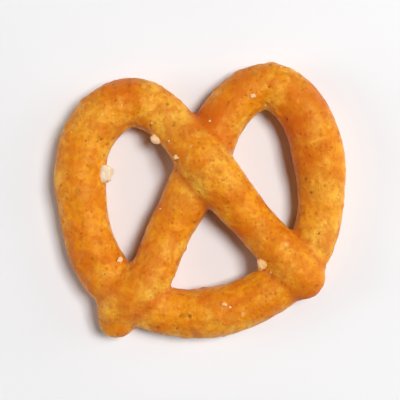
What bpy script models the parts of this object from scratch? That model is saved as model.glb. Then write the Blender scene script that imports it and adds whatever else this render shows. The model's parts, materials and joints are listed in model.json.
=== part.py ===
"""A mini pretzel: one rope of dough laid in a knot, baked hard, with a few grains of coarse salt.

The rope runs from one tip, up its arm to the crossing, round the first lobe, along the base, round
the second lobe, and back under the crossing to the other tip. The knot lies on its baked underside,
which is flat, with its face up: +X is across the face, +Y runs from the base to the lobes, and +Z is
up. The origin is at the bottom centre of its box.

Sizes are in millimetres. The meshes are in metres.
"""

import math

import bmesh
import bpy
import numpy as np
from mathutils import Matrix, Vector

MM = 0.001

# The rope of dough.
ROPE_WIDTH = 6.5  # its usual width, seen from above
HEIGHT_SHARE = 0.9  # its height, as a share of its width: the dough sags a little in the oven
PRESSED_FLAT = 0.35  # how much of its round underside the oven band takes away
TIP_LENGTH = 2.4  # the length over which each end is rounded off
TIP_BLUNTNESS = 0.35  # the width of the very end, as a share of the width behind it
SWELL = 0.02  # how much the width comes and goes, as a share
SWELL_WAVES = (9.0, 14.0, 23.0)  # the lengths of the waves in which it does so
RING_STEP = 0.95  # the distance from one ring of the surface to the next
TIP_RINGS = 6  # the rings in each rounded tip
ROPE_SIDES = 20  # the corners of each ring
SEED = 5

# The stations of the rope: name, place across and up the face, how far what lies below lifts the rope
# there, and its width as a share of ROPE_WIDTH.
STATIONS = (
    ("right tip", 15.1, -11.7, 0.9, 0.82),
    ("right arm end", 11.6, -7.8, 1.4, 0.94),
    ("right arm", 6.9, -2.6, 1.0, 0.88),
    ("crossing above", 0.9, 4.7, 1.9, 1.04),
    ("left lobe inside", -3.9, 10.4, 0.6, 0.93),
    ("left lobe top", -8.7, 12.9, 0.0, 1.01),
    ("left lobe outside", -13.2, 10.4, 0.0, 1.04),
    ("left shoulder", -15.3, 5.7, 0.0, 1.05),
    ("left side", -15.2, -0.9, 0.0, 1.00),
    ("left heel", -12.2, -9.4, 0.0, 1.02),
    ("left corner", -6.4, -13.6, 0.0, 0.98),
    ("base middle", 0.8, -14.6, 0.0, 1.01),
    ("right corner", 8.6, -11.9, 0.0, 0.99),
    ("right heel", 14.0, -6.8, 0.0, 0.92),
    ("right side", 15.8, 0.0, 0.0, 0.96),
    ("right shoulder", 15.3, 6.7, 0.0, 1.05),
    ("right lobe outside", 13.0, 12.3, 0.0, 1.00),
    ("right lobe top", 9.2, 15.0, 0.0, 0.96),
    ("right lobe inside", 4.7, 13.0, 0.0, 0.96),
    ("crossing below", 0.4, 4.6, 0.0, 1.04),
    ("left arm", -4.5, -5.3, 0.7, 0.90),
    ("left arm end", -7.4, -10.8, 1.4, 0.92),
    ("left foot", -10.5, -14.1, 1.0, 0.85),
    ("left tip", -10.5, -17.4, 0.6, 0.58),
)

# The grains of salt that are left: name, place across and up the face, and size.
SALT_GRAINS = (
    ("left_hole", -11.4, 3.5, 2.5),
    ("left_lobe", -5.6, 7.9, 1.8),
    ("right_arm_end", 7.9, -8.5, 1.7),
    ("crossing", -2.9, 5.6, 0.8),
    ("left_heel", -10.2, -7.6, 0.9),
    ("right_lobe", 6.8, 13.4, 0.7),
    ("base", 3.2, -13.2, 0.7),
)
GRAIN_SUNK = 0.2  # how far a grain is sunk in the crust, as a share of its size
GRAIN_ROUGHNESS = 0.12  # how far its corners stray, as a share of its size
GRAIN_SIDES = (1.0, 0.82, 0.7)  # its length, width and height, as shares of its size
GRAIN_TILT = 0.4  # how far it may lean, in radians

BAND_WIDTH = 60  # the side of the block that takes away what is below the oven band
WELD_DISTANCE = 0.01  # corners nearer than this are one corner
SHARP_EDGE = math.radians(40)

CRUST_COLOUR = (0.62, 0.26, 0.045, 1.0)
CRUST_ROUGHNESS = 0.5


def clear_scene():
    """Removes the objects that are there at the start."""
    for thing in list(bpy.data.objects):
        bpy.data.objects.remove(thing)


def new_collection(name, parent):
    """A collection inside another."""
    made = bpy.data.collections.new(name)
    parent.children.link(made)
    return made


def smooth_line(marks, values, at):
    """A natural cubic spline: the values at the marks, carried smoothly to the places in `at`."""
    step = np.diff(marks)
    system = np.eye(len(marks))
    wanted = np.zeros_like(values)
    inner = np.arange(1, len(marks) - 1)
    system[inner, inner - 1] = step[:-1]
    system[inner, inner] = 2 * (step[:-1] + step[1:])
    system[inner, inner + 1] = step[1:]
    slope = np.diff(values, axis=0) / step[:, None]
    wanted[1:-1] = 6 * np.diff(slope, axis=0)
    bend = np.linalg.solve(system, wanted)
    left = np.clip(np.searchsorted(marks, at) - 1, 0, len(step) - 1)
    span = step[left][:, None]
    behind = (marks[left + 1] - at)[:, None] / span
    ahead = 1 - behind
    curved = (behind**3 - behind) * bend[left] + (ahead**3 - ahead) * bend[left + 1]
    return behind * values[left] + ahead * values[left + 1] + curved * span**2 / 6


def swell(along, length):
    """The share by which the rope is thicker or thinner at each place: a few waves with seeded starts."""
    draw = np.random.default_rng(SEED)
    starts = draw.uniform(0, 2 * math.pi, len(SWELL_WAVES))
    waves = [
        np.sin(2 * math.pi * along / wave + start)
        for wave, start in zip(SWELL_WAVES, starts)
    ]
    return 1 + SWELL * np.sum(waves, axis=0) / math.sqrt(len(waves))


def tip_taper(from_end):
    """The share of its width that the rope has at a distance from its end: a quarter of an ellipse."""
    left = np.clip(1 - from_end / TIP_LENGTH, 0, 1)
    return TIP_BLUNTNESS + (1 - TIP_BLUNTNESS) * np.sqrt(1 - left**2)


def ring_places(length):
    """Where the rings are along the rope: evenly spaced, and closer together towards each tip."""
    tip = TIP_LENGTH * (1 - np.cos(np.linspace(0, math.pi / 2, TIP_RINGS + 1)))
    between = length - 2 * TIP_LENGTH
    even = np.linspace(TIP_LENGTH, TIP_LENGTH + between, round(between / RING_STEP) + 1)
    return np.concatenate([tip[:-1], even, (length - tip[:-1])[::-1]])


def rope_line():
    """The rope's centre line and its half width at each ring, in millimetres."""
    table = np.array([station[1:] for station in STATIONS])
    marks = np.concatenate(
        [[0], np.cumsum(np.linalg.norm(np.diff(table[:, :2], axis=0), axis=1))]
    )
    length = marks[-1]
    along = ring_places(length)
    across, up_face, lift, share = smooth_line(marks, table, along).T
    half_width = ROPE_WIDTH / 2 * share * swell(along, length)
    height = HEIGHT_SHARE * half_width - PRESSED_FLAT + np.maximum(lift, 0)
    half_width = half_width * tip_taper(along) * tip_taper(length - along)
    return np.stack([across, up_face, height], axis=1), half_width


def rope_mesh(line, half_width):
    """The rope as one closed tube. Its rings are round, and then lowered to the height of the dough.

    The heights of the curve's own points are raised by as much as the lowering takes away. A bevel
    makes each ring of twice its resolution and four corners more.
    """
    curve = bpy.data.curves.new("rope_guide", "CURVE")
    curve.dimensions = "3D"
    curve.bevel_depth = ROPE_WIDTH / 2 * MM
    curve.bevel_resolution = ROPE_SIDES // 2 - 2
    curve.use_fill_caps = True
    spline = curve.splines.new("POLY")
    spline.points.add(len(line) - 1)
    points = np.column_stack([line * MM, np.ones(len(line))])
    points[:, 2] /= HEIGHT_SHARE
    spline.points.foreach_set("co", points.ravel())
    spline.points.foreach_set("radius", half_width / (ROPE_WIDTH / 2))
    guide = bpy.data.objects.new("rope_guide", curve)
    bpy.context.scene.collection.objects.link(guide)
    graph = bpy.context.evaluated_depsgraph_get()
    mesh = bpy.data.meshes.new_from_object(guide.evaluated_get(graph))
    mesh.transform(Matrix.Diagonal((1, 1, HEIGHT_SHARE, 1)))
    bpy.data.objects.remove(guide)
    weld_ends(mesh)
    return mesh


def weld_ends(mesh):
    """Joins the caps of a curve's mesh to its sides, and points every face outwards."""
    shape = bmesh.new()
    shape.from_mesh(mesh)
    bmesh.ops.remove_doubles(shape, verts=shape.verts, dist=WELD_DISTANCE * MM)
    bmesh.ops.recalc_face_normals(shape, faces=shape.faces)
    shape.to_mesh(mesh)
    shape.free()


def crust_height(line, half_width, across, up_face):
    """The height of the rope's upper side at a place on the face, or of its flank just outside it."""
    away = np.linalg.norm(line[:, :2] - (across, up_face), axis=1)
    share = np.clip(away / half_width, 0, 1)
    heights = line[:, 2] + HEIGHT_SHARE * half_width * np.sqrt(1 - share**2)
    outside = away - half_width
    under_it = outside <= max(outside.min(), 0)
    return heights[under_it].max()


def salt_grain(name, across, up_face, size, height, draw):
    """One grain: a rough lump of twenty faces, turned at random and sunk a little in the crust."""
    shape = bmesh.new()
    bmesh.ops.create_icosphere(shape, subdivisions=1, radius=0.5)
    for corner in shape.verts:
        corner.co += Vector(draw.uniform(-GRAIN_ROUGHNESS, GRAIN_ROUGHNESS, 3))
        corner.co = Vector(np.array(corner.co) * GRAIN_SIDES)
    mesh = bpy.data.meshes.new(name)
    shape.to_mesh(mesh)
    shape.free()
    grain = bpy.data.objects.new(name, mesh)
    raised = height + (0.5 * GRAIN_SIDES[2] - GRAIN_SUNK) * size
    turn = Matrix.Rotation(draw.uniform(0, math.pi), 4, "Z")
    tilt = Matrix.Rotation(draw.uniform(-GRAIN_TILT, GRAIN_TILT), 4, "X")
    place = Matrix.Translation(Vector((across, up_face, raised)) * MM)
    mesh.transform(place @ turn @ tilt @ Matrix.Scale(size * MM, 4))
    return grain


def salt_grains(line, half_width, collection):
    """Every grain of salt, each its own closed lump, in the collection."""
    draw = np.random.default_rng(SEED)
    for name, across, up_face, size in SALT_GRAINS:
        height = crust_height(line, half_width, across, up_face)
        grain = salt_grain("salt_" + name, across, up_face, size, height, draw)
        collection.objects.link(grain)


def below_the_band(collection):
    """A cutter: everything below the surface that the pretzel was baked on."""
    side = BAND_WIDTH * MM
    bpy.ops.mesh.primitive_cube_add(size=side, location=(0, 0, -side / 2))
    cutter = bpy.context.object
    cutter.name = "below_the_band"
    for owner in list(cutter.users_collection):
        owner.objects.unlink(cutter)
    collection.objects.link(cutter)
    cutter.hide_render = True
    cutter.display_type = "WIRE"
    return cutter


def fuse(pretzel, grains, cutter):
    """Joins the rope to itself and to the salt, and cuts the underside flat, in the mesh itself."""
    join = pretzel.modifiers.new("join", "BOOLEAN")
    join.operation = "UNION"
    join.operand_type = "COLLECTION"
    join.collection = grains
    join.solver = "EXACT"
    join.use_self = True
    flatten = pretzel.modifiers.new("flatten", "BOOLEAN")
    flatten.operation = "DIFFERENCE"
    flatten.object = cutter
    flatten.solver = "EXACT"
    graph = bpy.context.evaluated_depsgraph_get()
    fused = bpy.data.meshes.new_from_object(pretzel.evaluated_get(graph))
    pretzel.modifiers.clear()
    pretzel.data = fused
    for helper in [*grains.objects, cutter]:
        bpy.data.objects.remove(helper)


def centre_on_origin(mesh):
    """Moves the mesh so that the bottom centre of its box is at the origin."""
    corners = np.empty(len(mesh.vertices) * 3, np.float32)
    mesh.vertices.foreach_get("co", corners)
    corners = corners.reshape(-1, 3)
    low, high = corners.min(axis=0), corners.max(axis=0)
    middle = (low + high) / 2
    mesh.transform(Matrix.Translation((-middle[0], -middle[1], -low[2])))


def crust_material():
    """Baked crust: golden brown, with a dull sheen."""
    material = bpy.data.materials.new("baked_crust")
    material.use_nodes = True
    shader = material.node_tree.nodes["Principled BSDF"]
    shader.inputs["Base Color"].default_value = CRUST_COLOUR
    shader.inputs["Roughness"].default_value = CRUST_ROUGHNESS
    shader.inputs["Metallic"].default_value = 0.0
    material.diffuse_color = CRUST_COLOUR
    return material


def main():
    clear_scene()
    scene = bpy.context.scene.collection
    parts = new_collection("mini_pretzel", scene)
    grains = new_collection("salt_grains", scene)
    cutters = new_collection("cutters", scene)
    line, half_width = rope_line()
    pretzel = bpy.data.objects.new("pretzel", rope_mesh(line, half_width))
    parts.objects.link(pretzel)
    salt_grains(line, half_width, grains)
    fuse(pretzel, grains, below_the_band(cutters))
    centre_on_origin(pretzel.data)
    pretzel.data.materials.clear()
    pretzel.data.materials.append(crust_material())
    pretzel.data.shade_smooth()
    pretzel.data.set_sharp_from_angle(angle=SHARP_EDGE)


main()
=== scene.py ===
"""A hard-baked mini pretzel with coarse salt, on a plain pale floor.

The crust is one rope of dough, carried as a profile along a path. It is fused where it lies on itself,
pressed flat underneath, and given its lumps, blisters, wrinkles and pores by noise over the surface.
Grains and crumbs of salt sit on it. Each step is an operator, and the panel lists them in order.

Sizes and places in the constants are in millimetres, in the frame of the stations, unless their comment
says metres. Settings and finished meshes are in metres.
"""

import json
import math
from collections import namedtuple

import bmesh
import bpy
import numpy as np
from bpy.props import FloatProperty, FloatVectorProperty, IntProperty, PointerProperty
from mathutils import Euler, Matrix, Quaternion, Vector

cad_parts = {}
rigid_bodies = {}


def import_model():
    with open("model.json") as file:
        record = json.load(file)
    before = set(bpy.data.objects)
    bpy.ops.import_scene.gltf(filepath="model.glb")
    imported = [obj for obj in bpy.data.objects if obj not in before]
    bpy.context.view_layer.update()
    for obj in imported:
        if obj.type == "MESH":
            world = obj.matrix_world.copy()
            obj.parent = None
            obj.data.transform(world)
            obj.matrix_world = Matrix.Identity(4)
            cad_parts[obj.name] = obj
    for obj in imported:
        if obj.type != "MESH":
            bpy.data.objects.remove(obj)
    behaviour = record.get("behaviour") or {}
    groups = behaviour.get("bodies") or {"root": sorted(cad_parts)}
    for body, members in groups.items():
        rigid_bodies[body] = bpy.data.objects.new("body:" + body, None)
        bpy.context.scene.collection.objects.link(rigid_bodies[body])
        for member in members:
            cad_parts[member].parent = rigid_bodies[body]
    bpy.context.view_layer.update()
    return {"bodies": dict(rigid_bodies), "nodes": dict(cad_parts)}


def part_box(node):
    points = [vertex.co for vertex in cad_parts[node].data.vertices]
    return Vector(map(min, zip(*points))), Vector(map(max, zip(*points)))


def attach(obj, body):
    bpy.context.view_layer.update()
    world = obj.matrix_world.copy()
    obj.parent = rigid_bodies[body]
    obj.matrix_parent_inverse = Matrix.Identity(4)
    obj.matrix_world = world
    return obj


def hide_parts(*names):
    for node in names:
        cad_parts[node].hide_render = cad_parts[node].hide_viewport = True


bl_info = {
    "name": "Mini Pretzel",
    "version": (1, 0, 0),
    "blender": (4, 5, 0),
    "location": "View3D > Sidebar > Pretzel",
    "description": "Bakes a salted mini pretzel and sets it on a studio floor",
    "category": "Add Mesh",
}

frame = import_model()

MM = 0.001
NODE = "pretzel"

# The stations of the rope of dough: name, place across and up the face, how far what lies below lifts
# the rope there, and its width as a share of the usual width. They are the stations of the solid.
STATIONS = (
    ("right tip", 15.1, -11.7, 0.9, 0.82),
    ("right arm end", 11.6, -7.8, 1.4, 0.94),
    ("right arm", 6.9, -2.6, 1.0, 0.88),
    ("crossing above", 0.9, 4.7, 1.9, 1.04),
    ("left lobe inside", -3.9, 10.4, 0.6, 0.93),
    ("left lobe top", -8.7, 12.9, 0.0, 1.01),
    ("left lobe outside", -13.2, 10.4, 0.0, 1.04),
    ("left shoulder", -15.3, 5.7, 0.0, 1.05),
    ("left side", -15.2, -0.9, 0.0, 1.00),
    ("left heel", -12.2, -9.4, 0.0, 1.02),
    ("left corner", -6.4, -13.6, 0.0, 0.98),
    ("base middle", 0.8, -14.6, 0.0, 1.01),
    ("right corner", 8.6, -11.9, 0.0, 0.99),
    ("right heel", 14.0, -6.8, 0.0, 0.92),
    ("right side", 15.8, 0.0, 0.0, 0.96),
    ("right shoulder", 15.3, 6.7, 0.0, 1.05),
    ("right lobe outside", 13.0, 12.3, 0.0, 1.00),
    ("right lobe top", 9.2, 15.0, 0.0, 0.96),
    ("right lobe inside", 4.7, 13.0, 0.0, 0.96),
    ("crossing below", 0.4, 4.6, 0.0, 1.04),
    ("left arm", -4.5, -5.3, 0.7, 0.90),
    ("left arm end", -7.4, -10.8, 1.4, 0.92),
    ("left foot", -10.5, -14.1, 1.0, 0.85),
    ("left tip", -10.5, -17.4, 0.6, 0.58),
)
SWELL = 0.02  # how much the rope's width comes and goes, as a share
SWELL_WAVES = (9.0, 14.0, 23.0)  # the lengths of the waves in which it does so
SWELL_SEED = 5
TIP_LENGTH = 2.4  # the length over which each end is rounded off
TIP_BLUNTNESS = 0.35  # the width of the very end, as a share of the width behind it
RING_STEP = 0.4  # from ring to ring of the tube that is fused
RING_SIDES = 48
FINE_STEP = 0.1  # from ring to ring of the rope that places are measured from
STRAND_GAP = 9.0  # strands that are this far apart along the rope are two strands
STRAND_FADE = 4.0  # and over this much more they come to flow together fully
HAIR = 0.01  # the dressed pretzel stays this far inside the solid's box
DOUBLES = 0.01  # corners of the crust that lie nearer to each other than this are merged
FACES = (20_000, 100_000)  # the fewest and the most faces of a sound crust

# Where the crust is paler or browner: name, place across and up the face, reach, and tone, which is above
# 0 for paler and below 0 for browner. Some patches are the tone that the oven gave; others are painted
# light. The paler patches at the right heel, inside the left lobe, at the left foot and on the outer rim
# of the left lobe are painted highlights. The browner patches on the flanks that face the holes and below
# the crossing are painted shade.
PATCHES = (
    ("right heel", 16.1, -4.8, 4.6, 1.0),
    ("left lobe inside", -3.6, 10.8, 4.2, 1.0),
    ("left foot", -5.8, -11.2, 3.4, 0.95),
    ("left arm flank", -3.1, -6.4, 2.6, 0.8),
    ("base left", -7.2, -14.4, 3.2, 0.85),
    ("crossing", -0.6, 2.0, 3.8, 0.9),
    ("left lobe outside", -14.6, 10.6, 3.6, 0.6),
    ("left lobe", -10.6, 9.4, 2.8, 0.6),
    ("left lobe crest", -5.6, 13.0, 2.8, 0.6),
    ("right lobe inside", 5.1, 9.4, 2.6, 0.7),
    ("right arm", 4.4, 2.6, 2.6, 0.5),
    ("above the crossing", 3.2, 6.4, 2.4, 0.6),
    ("right arm end", 10.0, -9.3, 2.6, 0.5),
    ("right side", 17.6, 0.5, 3.2, 0.5),
    ("left corner", -11.9, -12.2, 2.6, 0.5),
    ("right lobe outside", 15.4, 13.6, 5.4, -0.85),
    ("right lobe top", 5.4, 15.6, 4.6, -0.75),
    ("right lobe flank", 12.0, 9.6, 4.2, -1.0),
    ("right side flank", 12.8, 4.8, 3.4, -0.85),
    ("right heel flank", 12.2, -5.2, 2.2, -0.5),
    ("left lobe top", -9.8, 15.4, 4.6, -0.85),
    ("left arm", -6.9, -6.2, 3.4, -0.65),
    ("left side", -15.2, -4.4, 3.0, -0.4),
    ("left heel", -15.4, -8.8, 4.4, -0.6),
    ("left arm above", -4.4, -0.8, 2.4, -0.5),
    ("below the crossing", 1.2, -1.2, 2.2, -0.7),
    ("right arm flank", 5.8, -4.4, 2.8, -0.8),
    ("arm below the crossing", 1.2, 11.0, 4.4, -1.0),
    ("right tip", 14.3, -12.4, 3.4, -1.0),
    ("right corner", 9.0, -14.2, 3.6, -0.5),
    ("base", 1.1, -12.2, 3.0, -0.6),
)

PATCH_EDGE = (0.1, 1.0)  # over which part of its reach a patch fades out
PATCH_RAGGED = 2.4  # the size over which the edges of the patches wander
PATCH_SEEDS = (31, 32)

# The relief of the skin. A noise is given by its size and its seed. An edge is the range over which
# something goes from none to full, or from full to none.
RELIEF_SEED = 11
OPEN_EDGE = (0.25, 1.4)  # the heights over which the skin comes free of the oven band
PRESSED_SHARE = 0.12  # how much of the relief is left where the oven band presses the skin flat
SKIN_LEVEL = 0.05  # how far the whole skin is lowered, so that it is at the smooth dough on average
LUMP_NOISES = ((5.6, 1), (2.4, 2))
FLANK_LUMPS = 0.3  # how much of the finer lumps is left on the flanks
DIMPLE_NOISES = ((0.95, 3), (0.5, 4))
FINE_DIMPLES = 0.45  # the height of the finer dimples, to that of the others
STREAK_NOISE = (0.75, 5)
STREAK_LENGTH = 6.25  # how many times as long as wide a streak is
STREAK_WINDING = 0.12  # how far the streaks wind round the rope, for each millimetre along it
STREAK_HEIGHT = 1.9  # the height of the strongest streaks, to that of the dimples
STREAK_EDGE = (0.0, 0.5)  # how deep in the noise a streak is browner
STRETCHED = (8.4, -12.4, 6.0)  # where the skin is drawn out in streaks: place across and up, and reach
STRETCHED_EDGE = (0.3, 1.0)  # over which part of that reach the streaks fade
FAINT_STREAKS = 0.3  # their strength beyond it
WRINKLE_NOISE = (0.8, 6)
WRINKLE_LENGTH = 4.0  # how many times as long as wide a wrinkle is
WRINKLE_EDGE = (0.72, 1.0)  # how near a fold of the noise a wrinkle is
BEND_EDGE = (0.05, 0.2)  # how sharp a bend wrinkles its inside, in radians for each millimetre
INSIDE_EDGE = (0.8, 2.4)  # how far beside the rope's crest its wrinkles deepen
WRINKLED_NOISE = (3.0, 7)  # of the patches that are faintly wrinkled away from the bends
WRINKLED_EDGE = (-0.1, 0.5)
FAINT_WRINKLES = 0.25  # how deep the wrinkles are in those patches, to those in the bends

# The spots in the skin: the least and the largest radius, and the edge in shares of the radius.
BLISTER_RADII = (0.26, 1.0)
BLISTER_HEIGHT = 0.21  # the height of a blister, as a share of its radius
BLISTER_POWER = 1.6  # how far the foot of its dome runs out
PORE_RADII = (0.15, 0.36)
PORE_EDGE = (0.35, 1.0)
PORE_DEPTH = 0.14
SCAR_RADII = (0.35, 0.65)
SCAR_EDGE = (0.6, 1.0)
SCAR_DEPTH = 0.13
BURN_RADII = (0.45, 1.0)
BURN_EDGE = (0.3, 1.0)
FLANK_SPOTS = 0.15  # how densely the spots lie on upright flanks, where it is 1 more on top
RAGGED = (0.35, 0.7)  # how far the edges of scars and burnt spots wander, and over what size
RAGGED_SEEDS = (21, 22, 23)

# Where the colours of the skin change: by how far it faces up, and the underside by its height.
CREST_EDGE = (0.55, 1.0)
FLANK_EDGE = (0.15, 0.8)
PALER_EDGE = (-0.1, 0.4)
PALER_BELOW = 0.3  # how much of the paler patches shows on skin that faces down
UNDERSIDE_EDGE = (0.05, 0.9)

# The grains of salt: name, place across and up the face, length, breadth as a share of the length, the way
# the length points, in degrees from across, and how much of the crust's colour shows through, which is
# painted into the grain's colour as if seen through clear salt.
SALT_GRAINS = (
    ("left_hole", -11.4, 3.5, 2.5, 0.79, 82, 0.16),
    ("left_lobe", -5.6, 7.9, 1.7, 0.68, 165, 0.50),
    ("right_arm_end", 8.0, -8.1, 1.5, 0.84, 110, 0.74),
    ("crossing", -2.9, 5.6, 0.8, 0.85, 30, 0.66),
    ("left_heel", -10.2, -7.6, 0.9, 0.80, 75, 0.62),
    ("right_lobe", 6.8, 13.4, 0.7, 0.85, 20, 0.66),
    ("base", 3.2, -13.2, 0.7, 0.75, 150, 0.70),
)
SALT_SEED = 23
CRYSTAL_RINGS = 30
CRYSTAL_SIDES = 44
CRYSTAL_FACETS = 16
CRYSTAL_POWER = 14  # how sharp its edges are
CRYSTAL_NOISES = ((0.12, 0.7), (0.06, 0.3))  # height and size of its unevenness, in half lengths
CRYSTAL_HEIGHT = 0.9  # its height, as a share of its breadth
CRYSTAL_TILT = 0.35  # how far it may be tilted each way, in radians
FACET_TURN = 0.25  # how far its facets are turned at random
FACET_DISTANCES = (0.84, 1.0)  # from its middle, in half lengths
FACET_ANGLE = 35  # faces that meet at more degrees than this meet at a sharp edge
SEAT_SHARE = 0.05  # how far above the dough the middle of a grain sits, as a share of its length
FALL_FROM = 9.0  # the height from which the grains fall onto the dough
FALL_STEPS = 12
WIDEST_AT = 3.8  # how high up its flanks a grain beside the rope is caught
CRUMB_SIZES = (0.16, 0.42)
CRUMB_SIDES = 6
CRUMB_ZIGZAG = 0.25  # how far its ring of corners goes up and down, as a share of half its size
CRUMB_TIPS = 0.9  # how far its two points are from the ring
CRUMB_ASTRAY = 0.18  # how far each of its corners is astray
CRUMB_REACH = 3.0  # crumbs of salt gather about this near to the grains
CRUMB_STRAYS = 0.06  # how densely they lie far from the grains, where it is 1 more at a grain
CRUMB_UPWARD = 0.55  # they lie where the crust faces up more than this
CRUMB_FREE = 0.5  # they stay this far below the top of the pretzel
# The crust's colour in the crumbs is painted in, as if seen through clear salt.
CRUMB_CLEARNESS = 0.60  # how much of the crust's colour shows through the crumbs

# The softboxes: name, place and side in metres, and the setting that holds the power.
SOFTBOXES = (
    ("key_softbox", (0.30, 0.10, 0.68), 0.28, "key_power"),
    ("left_softbox", (-0.62, 0.0, 0.24), 0.36, "left_power"),
    ("right_softbox", (0.60, 0.10, 0.26), 0.36, "right_power"),
)
ROOM_HEIGHTS = (0.15, 0.75)  # where the walls end and the ceiling starts, from 0 level to 1 overhead
FLOOR_REACH = 3.0  # how far the floor goes each way, in metres
FRAMED_AT = 0.6  # the height at which the camera's fill is measured, as a share of the pretzel's

CHUNK = 8000  # points measured at a time
REFINEMENTS = 4  # steps to the foot of a perpendicular
SETTLE_STEPS = 4  # steps to the surface of the dough
TINY = 1e-9  # lengths are divided by at least this

Rope = namedtuple("Rope", "along line half_width height_share")
Field = namedtuple("Field", "outside out place crease")


# -------------------- Settings


class DoughSettings(bpy.types.PropertyGroup):
    """The rope of dough and its relief."""

    rope_width: FloatProperty(
        name="Rope Width", default=6.5 * MM, unit="LENGTH",
        description="Usual width of the rope, seen from above",
    )
    height_share: FloatProperty(
        name="Height Share", default=0.9, subtype="FACTOR",
        description="Height of the rope as a share of its width, as the dough sags in the oven",
    )
    pressed_flat: FloatProperty(
        name="Pressed Flat", default=0.35 * MM, unit="LENGTH",
        description="How much of the round underside the oven band takes away",
    )
    fillet: FloatProperty(
        name="Fillet", default=0.9 * MM, unit="LENGTH",
        description="How far the dough flows together where the rope lies on itself",
    )
    edge: FloatProperty(
        name="Bottom Edge", default=0.7 * MM, unit="LENGTH",
        description="Rounding between the flat underside and the flanks",
    )
    voxel: FloatProperty(
        name="Mesh Size", default=0.2 * MM, unit="LENGTH", precision=5,
        description="Size of the faces of the fused surface",
    )
    lumps: FloatProperty(
        name="Lumps", default=0.10 * MM, unit="LENGTH", precision=5,
        description="Height of the broad unevenness of the rope",
    )
    dimples: FloatProperty(
        name="Dimples", default=0.050 * MM, unit="LENGTH", precision=5,
        description="Height of the fine unevenness of the skin",
    )
    wrinkles: FloatProperty(
        name="Wrinkles", default=0.045 * MM, unit="LENGTH", precision=5,
        description="Depth of the wrinkles that rolling and bending leave in the skin",
    )
    blisters: IntProperty(name="Blisters", default=330, description="Number of blisters in the skin")
    pores: IntProperty(name="Pores", default=60, description="Number of open pores")
    burns: IntProperty(
        name="Burnt Spots", default=12,
        description="Number of small spots that the oven browned more than the rest",
    )
    scars: IntProperty(
        name="Salt Scars", default=5,
        description="Number of pale pits where a grain of salt came off",
    )


class CrustSettings(bpy.types.PropertyGroup):
    """The colours and the gloss of the crust."""

    golden: FloatVectorProperty(
        name="Golden", default=(0.87, 0.342, 0.012), subtype="COLOR",
        description="Colour of the crust where it is well baked",
    )
    honey: FloatVectorProperty(
        name="Honey", default=(0.98, 0.59, 0.072), subtype="COLOR",
        description="Colour of the lighter, yellower patches",
    )
    toasted: FloatVectorProperty(
        name="Toasted", default=(0.62, 0.112, 0.004), subtype="COLOR",
        description="Colour of the browner patches",
    )
    dark: FloatVectorProperty(
        name="Dark", default=(0.20, 0.042, 0.004), subtype="COLOR",
        description="Colour of freckles and pores",
    )
    pale: FloatVectorProperty(
        name="Pale", default=(0.88, 0.55, 0.20), subtype="COLOR",
        description="Colour of the dough where the skin is broken or barely baked",
    )
    roughness: FloatProperty(
        name="Roughness", default=0.36, subtype="FACTOR",
        description="Roughness of the skin at its glossiest",
    )


class SaltSettings(bpy.types.PropertyGroup):
    """The salt on the crust."""

    milky: FloatVectorProperty(
        name="Milky", default=(0.95, 0.84, 0.66), subtype="COLOR",
        description="Colour of milky salt",
    )
    # The clear colour is painted: it stands for the crust seen through clear salt.
    clear: FloatVectorProperty(
        name="Clear", default=(0.93, 0.44, 0.08), subtype="COLOR",
        description="Colour of salt that is so clear that only the crust shows",
    )
    crumbs: IntProperty(
        name="Crumbs", default=16,
        description="Number of fine crumbs of salt that cling to the crust",
    )


class StageSettings(bpy.types.PropertyGroup):
    """The floor, the lights and the camera."""

    floor: FloatVectorProperty(
        name="Floor", default=(0.86, 0.855, 0.865), subtype="COLOR",
        description="Colour of the floor",
    )
    key_power: FloatProperty(
        name="Key Light", default=5.1, unit="POWER",
        description="Power of the large softbox above",
    )
    right_power: FloatProperty(
        name="Right Light", default=0.9, unit="POWER",
        description="Power of the softbox low at the right",
    )
    left_power: FloatProperty(
        name="Left Light", default=1.4, unit="POWER",
        description="Power of the softbox low at the left",
    )
    walls: FloatProperty(
        name="Walls", default=0.25,
        description="Brightness of the white room all round",
    )
    ceiling: FloatProperty(
        name="Ceiling", default=0.05,
        description="Brightness of the white room overhead",
    )
    lens: FloatProperty(
        name="Lens", default=100.0, unit="CAMERA",
        description="Focal length of the camera",
    )
    fill: FloatProperty(
        name="Fill", default=0.74, subtype="FACTOR",
        description="Share of the picture's width that the pretzel takes",
    )


# -------------------- Measures


def dot(first, second):
    """The products of two lists of vectors, pair by pair."""
    return np.einsum("ij,ij->i", first, second)


def unit(vectors):
    """The vectors drawn out or in to length 1."""
    return vectors / np.maximum(np.linalg.norm(vectors, axis=1), TINY)[:, None]


def rise(values, low, high):
    """0 below `low`, 1 above `high`, and 3t^2 - 2t^3 between them."""
    share = np.clip((values - low) / (high - low), 0, 1)
    return share**2 * (3 - 2 * share)


def soft_least(first, second, reach):
    """The smooth minimum min(a, b) - max(k - |a - b|, 0)^2 / 4k, where k is the reach.

    Also returns the weight of the first value in it, and how near the two are, from 0 to 1.
    """
    near = np.maximum(1 - np.abs(first - second) / reach, 0)
    weight = np.where(first <= second, 1 - near / 2, near / 2)[:, None]
    return np.minimum(first, second) - near**2 * reach / 4, weight, near


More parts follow.
